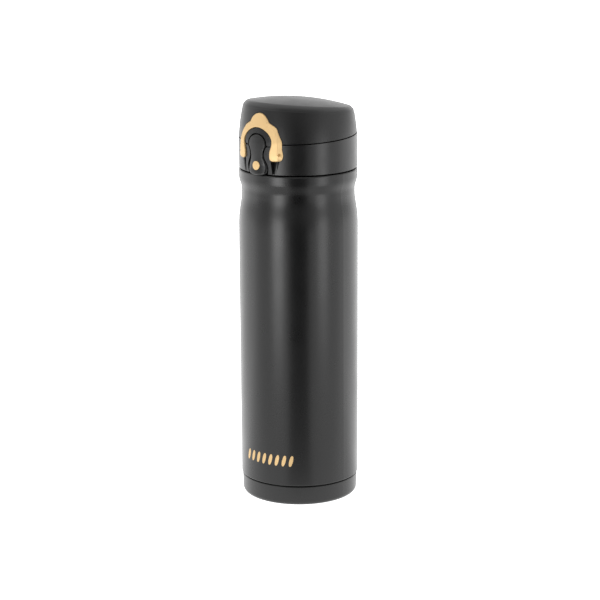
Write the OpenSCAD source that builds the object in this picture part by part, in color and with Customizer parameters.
// Vacuum flask, 0.5 litre class, with a one-touch hinged lid, latch button and pivoting lock ring.
// Units are millimetres. +Z is up, the button faces -Y, and z = 0 is the foot.

/* [Body] */
// Radius of the straight body
body_r = 32.9; // [28:0.1:40]
// Radius of the bead above the waist
bead_r = 32.63; // [28:0.05:40]
// How far the waist draws in from the body
waist_in = 1.75; // [0:0.05:4]
// Height where the body starts to draw in
waist_low_z = 152; // [100:1:165]
// Height of the waist's lower end
waist_z = 172; // [165:0.5:174]
// Height of the shelf under the cap
shelf_z = 185.7; // [180:0.1:195]
// Steel wall of the outer shell
wall = 0.6; // [0.4:0.1:1.2]
// Steel wall of the inner vessel
inner_wall = 0.5; // [0.4:0.1:1.2]
// Outer radius of the inner vessel
vessel_r = 29.9; // [26:0.1:31]

/* [Base] */
// Height of the seam above the foot
base_seam_z = 11.3; // [6:0.1:20]
// Radius of the base cover at its top
base_r = 32.4; // [28:0.1:36]
// Radius of the foot's rounded edge
foot_fillet = 2.6; // [1:0.1:5]

/* [Neck and thread] */
// Radius of the neck
neck_r = 23.2; // [18:0.1:28]
// Height of the neck's lip
lip_z = 198.8; // [192:0.1:205]
// Inner radius of the mouth
mouth_r = 20.5; // [16:0.1:24]
// Thread pitch
pitch = 4; // [2:0.5:6]
// Crest radius of the neck's thread
crest_r = 24.3; // [20:0.1:28]

/* [Cap] */
// Outer radius of the collar
collar_r = 32.5; // [28:0.1:38]
// Underside of the collar
collar_z = 186.4; // [180:0.1:195]
// Height of the seam between lid and collar, on the axis
seam_z = 204.25; // [195:0.05:215]
// Backward rise of that seam, in degrees
seam_tilt = 2.65; // [0:0.05:6]
// Visible gap at the seam
seam_gap = 0.6; // [0.2:0.1:1]
// Bore of the threaded sleeve
sleeve_r = 24.75; // [20:0.05:30]

/* [Lid] */
// Height of the tilted top's rim plane on the axis
top_z = 221.56; // [210:0.01:235]
// Tilt of the lid's top, high at the front, in degrees
top_tilt = 5.82; // [0:0.01:12]
// Radius of the lid's rounded top edge
top_fillet = 4; // [1:0.1:6]
// Rearward shift of the top's circle
top_shift = 0.93; // [0:0.01:3]
// Height of the hinge axis
hinge_z = 204.6; // [198:0.1:210]
// Distance of the hinge axis behind the flask's axis
hinge_y = 33; // [28:0.1:38]

/* [Button and ring] */
// Height of the button's round head
head_z = 202.6; // [195:0.1:210]
// Half width to the middle of the groove round the head
head_r = 6.2; // [3:0.1:9]
// Half height of the head, which is slightly flattened
head_half = 5.35; // [3:0.05:9]
// Radius of the gold dot in the button
badge_r = 2.4; // [1.5:0.05:3.5]
// Height of the button's pivot
pivot_z = 197; // [190:0.1:205]
// Height of the lock ring's pivot
ring_pivot_z = 197.6; // [194:0.1:201]
// Gap round the lock ring's inner edge
ring_gap = 0.4; // [0.2:0.05:0.8]
// Lean of the tracks under the ring's feet, in degrees
track_tilt = 7; // [0:0.5:15]

/* [Hidden] */
$fn = 96;
eps = 0.01;
waist_r = body_r - waist_in;
pin_y = -31.2;
badge_tilt = 3;
helix = atan(pitch / (2 * PI * (neck_r + crest_r) / 2));
track_floor = -29.3;

// A cosine ease from 0 to 1.
function ease(t) = (1 - cos(180 * min(1, max(0, t)))) / 2;

// Outer radius of the body's drawn wall at a height.
function shell_r(z) = z < 173.5
  ? body_r - waist_in * ease(pow(max(0, z - waist_low_z) / (waist_z - waist_low_z), 1.45))
  : waist_r + (bead_r - waist_r) * ease((z - 174.4) / 7);

// Outer radius of the lid's side at a height.
function lid_r(z) = collar_r - 0.0515 * (z - 203) - 0.005 * pow(z - 203, 2);

// A Catmull-Rom curve through points.
function spline(p, n) = [
  for (i = [0 : len(p) - 2], k = [0 : n - 1])
    let (t = k / n, a = p[max(0, i - 1)], b = p[i], c = p[i + 1], d = p[min(len(p) - 1, i + 2)])
    0.5 * (2 * b + (c - a) * t + (2 * a - 5 * b + 4 * c - d) * t * t + (3 * b - a - 3 * c + d) * t * t * t)
];

function unit(v) = v / norm(v);

// Points moved sideways by d, to the left of the direction of travel.
function grow(p, d) = [
  for (i = [0 : len(p) - 1])
    let (v = unit(p[min(len(p) - 1, i + 1)] - p[max(0, i - 1)]))
    p[i] + d * [-v[1], v[0]]
];

function mirrored(p) = [for (i = [len(p) - 1 : -1 : 0]) [-p[i][0], p[i][1]]];

// Right half of the lock ring where it meets the cap, top to foot.
ring_base = spline([
  [0, 219.1], [1.5, 218.85], [3, 218.2], [4.3, 217.25], [5.25, 216.2], [5.95, 215.2], [6.4, 214.5],
  [6.95, 213.95], [8.2, 213.35], [9.6, 212.6], [10.7, 211.85], [11.45, 211.1], [11.9, 210.1], [12.6, 208.5],
  [13.4, 206.8], [14.15, 205.3], [14.6, 204.1], [14.7, 202.4], [14.7, 200.6], [14.95, 199.1], [15.2, 197.6],
  [15.25, 196.3], [15.05, 195.1], [14.4, 194.3], [13.4, 193.95], [12.3, 193.85], [11.5, 193.83]
], 3);

// Right half of its raised face, top to foot.
ring_crest = spline([
  [0, 218.9], [1.5, 218.7], [2.9, 218.15], [4.1, 217.25], [5, 216.25], [5.6, 215.25], [5.85, 214.5],
  [6.1, 213.75], [7, 213.05], [8.4, 212.3], [9.8, 211.35], [10.9, 210.4], [11.6, 209.5], [12.35, 208.2],
  [13, 206.7], [13.5, 205.2], [13.75, 204], [13.8, 202.3], [13.85, 200.6], [14, 199], [14.2, 197.5],
  [14.25, 196.2], [14.05, 195.1], [13.55, 194.4], [12.9, 194.1], [12.1, 194], [11.5, 193.97]
], 3);

// Right half of its inner edge, foot to arch.
ring_inner = spline([
  [11.1, 193.92], [10.3, 194.02], [9.5, 194.45], [9, 195.3], [8.9, 196.4], [8.88, 197.3], [8.95, 198.4],
  [9.1, 199.4], [9.4, 200.4], [9.65, 201.4], [9.88, 202.3], [10, 203.3], [10, 204.2], [9.8, 205.1],
  [9.45, 206], [8.95, 206.8], [8.3, 207.65], [7.4, 208.65], [6.2, 209.55], [4.65, 210.4], [3, 211.05],
  [1.5, 211.4], [0, 211.5]
], 3);

// Middle of the groove down the button's right side.
groove = [
  [6.1, 201.3], [5.5, 200.2], [4.95, 199], [4.7, 198], [4.6, 197], [4.65, 196], [4.9, 195], [5.4, 194],
  [5.95, 193], [6.5, 192], [6.85, 191], [7, 190], [7, 189], [6.85, 188], [6.5, 187.2]
];

// Sections by height: the ring's face and back, and the raised surround of the button.
ring_face = [
  [34.2, 193], [34.4, 194.5], [34.45, 197], [34.4, 200], [34.15, 204], [33.2, 209.5], [32, 215],
  [30.9, 220]
];
ring_back = [
  [29.5, 220], [30.6, 215], [31.8, 209.5], [32.6, 204], [32.7, 200], [32.75, 197.2], [33.1, 195.5],
  [33.4, 193]
];
ring_edge = [
  [33.7, 193], [33.4, 195.5], [33.1, 197.2], [32.9, 199.5], [32.85, 203], [32.65, 206], [32.25, 210],
  [31.5, 215], [30.8, 218], [30.4, 220]
];
surround = [
  [32.6, 186], [32.8, 187.5], [33.05, 190], [33.35, 194], [33.5, 197], [33.55, 201], [33.45, 204],
  [33.1, 207], [32.3, 211], [32, 212]
];

module slab(x, y0, y1, z0, z1) {
  translate([-x, y0, z0]) cube([2 * x, y1 - y0, z1 - z0]);
}

module pair() {
  children();
  mirror([1, 0, 0]) children();
}

// Everything above or below the tilted seam, moved off it by gap.
module above_seam(gap) {
  translate([0, 0, seam_z]) rotate([seam_tilt, 0, 0]) translate([-60, -60, gap]) cube([120, 120, 60]);
}

module below_seam(gap) {
  translate([0, 0, seam_z]) rotate([seam_tilt, 0, 0]) translate([-60, -60, -60 - gap]) cube([120, 120, 60]);
}

// A flat outline in X and Z, swept from y = -28 out past the front.
module front_cut(y0 = -28) {
  translate([0, y0, 0]) rotate([90, 0, 0]) linear_extrude(14) children();
}

module track_frame() {
  translate([0, 0.2, 196]) rotate([-track_tilt, 0, 0]) children();
}

module x_axis(y, z, x, r) {
  translate([-x, y, z]) rotate([0, 90, 0]) cylinder(h = 2 * x, r = r);
}

// A ridge that climbs as arcs of a tilted ring, each one step higher.
module ridge(root, crest, start, total, z0) {
  step = 50;
  for (i = [0 : total / step - 1])
    rotate([0, 0, start + (i + 0.5) * step])
      translate([0, 0, z0 + pitch * (start + (i + 0.5) * step) / 360])
        rotate([helix, 0, 0]) rotate([0, 0, -step / 2 - 0.5]) rotate_extrude(angle = step + 1)
          polygon([[root, -0.85], [crest, -0.4], [crest, 0.4], [root, 0.85]]);
}

// A round wire wound as a helix along Z.
module coil(r, wire, turns, height) {
  n = 14;
  m = 6;
  count = floor(turns * n);
  points = [
    for (i = [0 : count], k = [0 : m - 1])
      let (a = 360 * i / n, b = 360 * k / m, q = r + wire * cos(b))
      [q * cos(a), q * sin(a), height * i / count + wire * sin(b)]
  ];
  sides = [
    for (i = [0 : count - 1], k = [0 : m - 1])
      [i * m + k, i * m + (k + 1) % m, (i + 1) * m + (k + 1) % m, (i + 1) * m + k]
  ];
  ends = [[for (k = [m - 1 : -1 : 0]) k], [for (k = [0 : m - 1]) count * m + k]];
  polyhedron(points, concat(sides, ends));
}

module outer_shell() {
  outer = [for (i = [0 : 36]) let (z = 150 + i * (182 - 150) / 36) [shell_r(z), z]];
  inner = [for (i = [36 : -1 : 0]) [outer[i][0] - wall, outer[i][1]]];
  color("#2c2c2e") union() {
    rotate_extrude() polygon(concat(
      [[31.3, 3], [31.3, base_seam_z + 0.3], [body_r - 0.5, base_seam_z + 0.3],
       [body_r - 0.15, base_seam_z + 0.45], [body_r, base_seam_z + 0.8]],
      outer,
      [[bead_r, shelf_z - 0.7], [bead_r - 0.2, shelf_z - 0.2], [bead_r - 0.7, shelf_z],
       [neck_r + 0.5, shelf_z], [neck_r, shelf_z + 0.5], [neck_r, lip_z - 0.8],
       [neck_r - 0.25, lip_z - 0.2], [neck_r - 0.8, lip_z], [mouth_r + 0.6, lip_z], [mouth_r, lip_z - 0.5],
       [mouth_r, lip_z - 0.8], [neck_r - wall, lip_z - 0.8], [neck_r - wall, shelf_z - wall],
       [bead_r - 1.2, shelf_z - wall], [bead_r - wall, shelf_z - 1.3]],
      inner,
      [[body_r - wall, base_seam_z + 1.2], [30.7, base_seam_z + 0.9], [30.7, 3]]
    ));
    ridge(neck_r - 0.2, crest_r, 0, 400, 188.6);
  }
}

module inner_vessel() {
  r = vessel_r;
  outer = concat(
    [[0, 7.2], [23, 7.2]],
    [for (a = [-80 : 10 : 0]) [r - 6 + 6 * cos(a), 13.2 + 6 * sin(a)]],
    [[r, 149], [r - 0.8, 158], [r - 0.8, 176]],
    [for (a = [10 : 10 : 90]) [21 + (r - 21.8) * cos(a), 176 + 8 * sin(a)]],
    [[21, lip_z - 0.8]]
  );
  inner = concat(
    [[mouth_r, lip_z - 0.8]],
    [for (a = [90 : -10 : 0]) [20.5 + (r - 21.8) * cos(a), 175.8 + 7.7 * sin(a)]],
    [[r - 0.8 - inner_wall, 158], [r - inner_wall, 149]],
    [for (a = [0 : -10 : -80]) [r - 6 + 5.5 * cos(a), 13.2 + 5.5 * sin(a)]],
    [[23, 7.7], [0, 7.7]]
  );
  color("#c9cbcd") rotate_extrude() polygon(concat(outer, inner));
}

module bottom_disc() {
  color("#b9bbbd") rotate_extrude() polygon([
    [2.5, 3.9], [24, 3.4], [30.7, 3.4], [30.7, 6], [30.1, 6], [30.1, 4.1], [24, 4.1], [2.5, 4.6]
  ]);
}

module seal_plug() {
  color("#8d8f92") union() {
    translate([0, 0, 3.5]) cylinder(h = 1.2, r = 2.5);
    translate([0, 0, 3]) cylinder(h = 0.8, r = 4.4);
  }
}

module getter() {
  color("#6c6d70") translate([0, 0, 6]) cylinder(h = 1.2, r = 5);
}

module radiation_foil() {
  color("#d08b5b") difference() {
    translate([0, 0, 14]) cylinder(h = 134, r = vessel_r + 0.15);
    translate([0, 0, 13]) cylinder(h = 136, r = vessel_r);
  }
}

module base_cover() {
  f = foot_fillet;
  color("#1f1f21") rotate_extrude() polygon(concat(
    [[0, 1.2], [21.5, 1.2], [22.7, 0], [base_r - 0.3 - f, 0]],
    [for (a = [-80 : 10 : 0]) [base_r - 0.3 - f + f * cos(a), f + f * sin(a)]],
    [[base_r, base_seam_z - 0.7], [base_r - 0.4, base_seam_z - 0.3], [31.3, base_seam_z - 0.3], [31.3, 3],
     [29.8, 1.6], [23.4, 1.6], [22.2, 2.6], [0, 2.6]]
  ));
}

module mouth_gasket() {
  color("#b8bcc0") rotate_extrude() polygon([
    [20.3, 198.85], [23.3, 198.85], [23.3, 200.05], [23, 200.35], [20.6, 200.35], [20.3, 200.05]
  ]);
}

// Outline of the button's opening, grown by g from the middle of its groove.
module button_outline(g, low) {
  head = [for (a = [90 : -5 : -5]) [(head_r + g) * cos(a), head_z + (head_half + g) * sin(a)]];
  half = concat(head, grow(groove, g), low);
  polygon(concat(half, mirrored(half)));
}

module collar_shell() {
  color("#232325") difference() {
    union() {
      intersection() {
        union() {
          difference() {
            translate([0, 0, collar_z]) cylinder(h = 22, r = collar_r);
            translate([0, 0, collar_z - 1]) cylinder(h = 24, r = collar_r - 1.2);
          }
          difference() {
            translate([0, 0, 190]) cylinder(h = 20, r = collar_r - 0.1);
            below_seam(1.9);
          }
          difference() {
            intersection() {
              translate([0, 0, 187.2]) cylinder(h = 18, r = collar_r - 1);
              union() {
                slab(16.5, -40, -20, 187.2, 206);
                slab(12, 20, 40, 187.2, 206);
              }
            }
            translate([0, 0, 180]) cylinder(h = 30, r = 27.4);
          }
        }
        below_seam(seam_gap / 2);
      }
      pair() hinge_ear();
      button_island();
    }
    translate([0, 0, 180]) cylinder(h = 30, r = 26.6);
    front_cut(-28.6) button_outline(0.45, [[7, 186.6], [7, 180]]);
    pair() foot_track();
    pair() translate([7, -31.5, 199.8]) cube([1.4, 0.8, 4]);
    x_axis(pin_y, pivot_z, 6.5, 0.8);
    x_axis(hinge_y, hinge_z, 7.1, 2.6);
    x_axis(hinge_y, hinge_z, 12, 1);
  }
}

// One ear of the lid's hinge, blended down to the collar's wall.
module hinge_ear() {
  difference() {
    translate([7.2, 0, 0]) rotate([90, 0, 90]) linear_extrude(3) {
      translate([hinge_y, hinge_z]) circle(r = 2.4);
      polygon([
        [29, 201], [29, 204.5], [31.4, 206.4], [hinge_y, 204.6], [35.3, 204], [34.9, 202.6], [32, 196],
        [29, 196]
      ]);
    }
    translate([0, 0, 180]) cylinder(h = 40, r = 28.5);
  }
}

// Flat-bottomed track with a thin rib, and a pocket for the ring's pivot. It runs out at the collar's face.
module foot_track() {
  track_frame() translate([0, track_floor, 0]) rotate([90, 0, 0]) difference() {
    linear_extrude(20) polygon([[9.45, -13], [9, -6.6], [9, 5.6], [14.2, 5.6], [14.2, -13]]);
    translate([0, 0, -1]) linear_extrude(1.4) polygon([[10.8, -14], [11.2, -14], [12.4, -6], [12, -6]]);
  }
  translate([8.9, -34, ring_pivot_z - 2]) cube([3, 34 - 29.1, 4]);
  translate([6.9, pin_y, ring_pivot_z]) rotate([0, 90, 0]) cylinder(h = 3, r = 0.85);
}

// Raised part of the collar round the button's neck and foot.
module button_island() {
  half = concat(
    [[0, 201.35], [ring_inner[27][0] - ring_gap, 201.35]],
    [for (i = [27 : -3 : 9]) if (ring_inner[i][1] < 201.3) ring_inner[i] - [ring_gap, 0]],
    [[8.9, 194.9], [9.2, 194], [9.5, 193.2], [9.55, 186.4], [0, 186.4]]
  );
  intersection() {
    front_cut(-28.8) polygon(concat(half, mirrored(half)));
    rotate_extrude() polygon(concat([[30, 212], [30, 186]], surround));
  }
}

module collar_core() {
  color("#3a3b3e") union() {
    difference() {
      translate([0, 0, 187.2]) cylinder(h = 18.8, r = 26.6);
      translate([0, 0, 187]) cylinder(h = 14.65, r = sleeve_r);
      translate([0, 0, 203]) cylinder(h = 4, r = sleeve_r);
      translate([0, 0, 200]) cylinder(h = 4, r = 18.8);
    }
    ridge(sleeve_r + 0.3, 23.65, 120, 350, 186.6);
  }
}

module spout() {
  color("#55575b") difference() {
    union() {
      translate([0, 0, 200.4]) cylinder(h = 1.2, r = 24.3);
      translate([0, 0, 194.5]) cylinder(h = 6, r = 20);
      translate([0, -5, 201]) cylinder(h = 9.8, r1 = 12.8, r2 = 11.4);
      translate([0, -5, 210.8]) cylinder(h = 1.2, r1 = 11.4, r2 = 10.9);
    }
    translate([0, 0, 194]) cylinder(h = 6.4, r = 18.6);
    translate([0, -5, 198]) cylinder(h = 16, r = 9.5);
    translate([0, 13.6, 198]) cylinder(h = 6, r = 1.2);
  }
}

// Arched piece that stands up from the collar round the button's head.
module front_bezel() {
  half = concat(
    [[0, 202.2], [ring_inner[30][0] - ring_gap, 202.2]],
    [for (i = [31 : len(ring_inner) - 1]) ring_inner[i] - ring_gap * unit(ring_inner[i] - [0, 203])],
    [[0, 211.1]]
  );
  color("#28282a") union() {
    difference() {
      intersection() {
        front_cut(-24) polygon(concat(half, mirrored(half)));
        rotate_extrude() polygon(concat(
          [[31.4, 212], [31.4, 201]],
          [for (p = surround) if (p[1] > 200.5) p]
        ));
      }
      front_cut(-24) button_outline(0.45, [[7, 186.6], [7, 180]]);
      intersection() {
        translate([0, 0, 200]) cylinder(h = 8, r = collar_r + 0.02);
        below_seam(seam_gap / 2 - 0.02);
      }
    }
    pair() translate([7, -31.5, 199.8]) cube([1.4, 0.8, 4]);
  }
}

// The button's front is crowned at the foot and flares to the chin. Its back carries the boss and hook.
module push_button() {
  color("#29292b") difference() {
    intersection() {
      front_cut(-28) button_outline(-0.35, [[5.6, 186.4], [4, 185.8], [2, 185.45], [0.3, 185.4]]);
      rotate_extrude() polygon([
        [32.8, 210], [33.1, 208.6], [33.5, 206.2], [33.7, 203], [33.75, 200], [33.7, 197], [33.65, 194],
        [33.7, 191], [33.9, 189.2], [34.1, 188], [34.25, 187], [34.2, 186.2], [34, 185.5], [33.75, 185.2],
        [33.3, 185.2], [33.3, 186.4], [31.6, 187.2], [31.6, 193.6], [29.6, 195], [29.6, 199], [31.3, 200.6],
        [31.3, 206.9], [30.8, 207], [30.8, 210]
      ]);
      translate([0, -22, 0]) rotate_extrude() polygon([
        [0, 180], [11.9, 180], [12.3, 187], [11.9, 189.5], [11.75, 191], [12.1, 194], [13.2, 197.5],
        [14, 200], [14, 212], [0, 212]
      ]);
    }
    x_axis(pin_y, pivot_z, 8, 0.85);
    badge_frame() translate([0, 0, -0.8]) cylinder(h = 3, r = badge_r + 0.02);
  }
}

module badge_frame() {
  translate([0, -33.65, 190.9]) rotate([90 - badge_tilt, 0, 0]) children();
}

module button_badge() {
  color("#e8c489") badge_frame() union() {
    translate([0, 0, -0.8]) cylinder(h = 1.25, r = badge_r);
    translate([0, 0, 0.45]) cylinder(h = 0.2, r1 = badge_r, r2 = badge_r - 0.4);
  }
}

module button_pin() {
  color("#a9abae") x_axis(pin_y, pivot_z, 6.5, 0.8);
}

module button_spring() {
  color("#a9abae") translate([0, -28.95, 190.2]) rotate([90, 0, 0]) coil(1.7, 0.25, 3.5, 2.3);
}

// Horseshoe with a raised face. Inside each foot is a boss with a stub pin.
module lock_ring() {
  base = concat(ring_base, ring_inner);
  crest = concat(ring_crest, ring_inner);
  color("#e8c489") union() {
    intersection() {
      front_cut(-22) polygon(concat(base, mirrored(base)));
      rotate_extrude() polygon(concat(ring_edge, ring_back));
    }
    intersection() {
      front_cut(-22) polygon(concat(crest, mirrored(crest)));
      rotate_extrude() polygon(concat(ring_face, ring_back));
    }
    pair() translate([0, pin_y, ring_pivot_z]) rotate([0, 90, 0]) {
      translate([0, 0, 9.2]) cylinder(h = 2.3, r = 1.45);
      translate([0, 0, 7]) cylinder(h = 3, r = 0.8);
    }
  }
}

module hinge_pin() {
  color("#a9abae") x_axis(hinge_y, hinge_z, 10.4, 1);
}

module hinge_spring() {
  color("#a9abae") union() {
    translate([-3.2, hinge_y, hinge_z]) rotate([0, 90, 0]) coil(1.75, 0.3, 7.5, 6.4);
    translate([-3.2, hinge_y, hinge_z + 1.4]) cylinder(h = 2, r = 0.3);
    translate([3.2, hinge_y + 1.5, hinge_z - 1.6]) cylinder(h = 2, r = 0.3);
  }
}

// Domed top with its rounded edge, flaring below so that the lid's side can cut it.
module lid_top(drop) {
  f = top_fillet;
  ri = 26.58;
  b = 12.9;
  rd = ri + f * sin(b);
  rs = rd / sin(b);
  translate([0, 0, top_z - drop]) rotate([-top_tilt, 0, 0]) translate([0, top_shift, 0]) rotate_extrude()
    polygon(concat(
      [for (i = [0 : 14]) let (a = b * i / 15) [rs * sin(a), rs * (cos(a) - cos(b)) - f * (1 - cos(b))]],
      [for (i = [0 : 12]) let (a = b + (80 - b) * i / 12) [ri + f * sin(a), -f * (1 - cos(a))]],
      [[40, -26], [0, -26]]
    ));
}

module lid_shell() {
  outline = grow(ring_base, 0.25);
  color("#2b2b2d") difference() {
    intersection() {
      rotate_extrude() polygon(concat([[0, 198]], [for (z = [198 : 1.5 : 228]) [lid_r(z), z]], [[0, 228]]));
      lid_top(0);
      above_seam(seam_gap / 2);
    }
    intersection() {
      union() {
        translate([0, 0, 195]) cylinder(h = 19.8, r = 29.5);
        translate([0, 0, 214.8 - eps]) cylinder(h = 12, r1 = 29.5, r2 = 23.5);
      }
      lid_top(1.8);
    }
    front_cut(-28) button_outline(0.45, [[6.6, 180]]);
    intersection() {
      front_cut(-24) polygon(concat(outline, [[14.6, 190]], mirrored(concat(outline, [[14.6, 190]]))));
      rotate_extrude() polygon([
        [31, 200], [31, 210], [30.7, 212], [30.2, 215], [29.3, 219.5], [29, 222], [50, 222], [50, 200]
      ]);
    }
    slab(10.7, 26, 40, 200, 208.2);
  }
}

module lid_liner() {
  color("#3a3b3e") difference() {
    union() {
      intersection() {
        difference() {
          translate([0, 0, 195]) cylinder(h = 19.7, r = 29.5);
          translate([0, 0, 190]) cylinder(h = 23.5, r = 28.3);
        }
        above_seam(seam_gap / 2);
      }
      slab(3.5, -30.6, -29, 204.6, 206.4);
      pair() {
        translate([4, 28.9, 205.9]) cube([2.9, 3.6, 2.2]);
        translate([4, hinge_y, hinge_z]) rotate([0, 90, 0]) cylinder(h = 2.9, r = 2.1);
      }
    }
    x_axis(hinge_y, hinge_z, 12, 1.05);
  }
}

module lid_gasket() {
  color("#b8bcc0") translate([0, -5, 0]) union() {
    translate([0, 0, 212.05]) cylinder(h = 1.45, r = 12.6);
    translate([0, 0, 211.2]) cylinder(h = 1.2, r1 = 8.2, r2 = 8.8);
  }
}

outer_shell();
inner_vessel();
bottom_disc();
seal_plug();
getter();
radiation_foil();
base_cover();
mouth_gasket();
collar_shell();
collar_core();
spout();
front_bezel();
push_button();
button_badge();
button_pin();
button_spring();
lock_ring();
hinge_pin();
hinge_spring();
lid_shell();
lid_liner();
lid_gasket();
